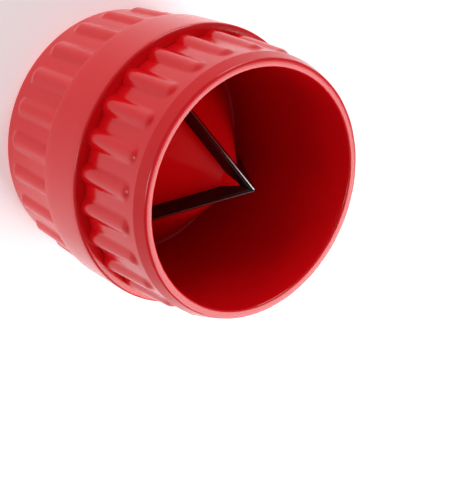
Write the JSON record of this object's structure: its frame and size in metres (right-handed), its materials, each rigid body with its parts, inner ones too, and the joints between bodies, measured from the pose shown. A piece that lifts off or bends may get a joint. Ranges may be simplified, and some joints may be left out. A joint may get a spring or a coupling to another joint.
{
  "type": "pipe deburring tool",
  "caption": "Hand-held plastic drum with a bladed male cone in one mouth and a bladed funnel in the other, for deburring cut pipe inside and outside.",
  "frame": {"origin": "centre of the resting rim, at the funnel mouth", "axes": "+Z along the drum's axis, from the funnel mouth to the male-cone mouth; +Y along the first blade"},
  "size_m": [0.06, 0.06, 0.052],
  "materials": {
    "red_plastic": "satin moulded",
    "blackened_steel": "black oxide, ground edges"
  },
  "bodies": {
    "root": {"front_shell": "red_plastic", "rear_shell": "red_plastic", "blade_1": "blackened_steel", "blade_2": "blackened_steel", "blade_3": "blackened_steel"}
  },
  "joints": []
}
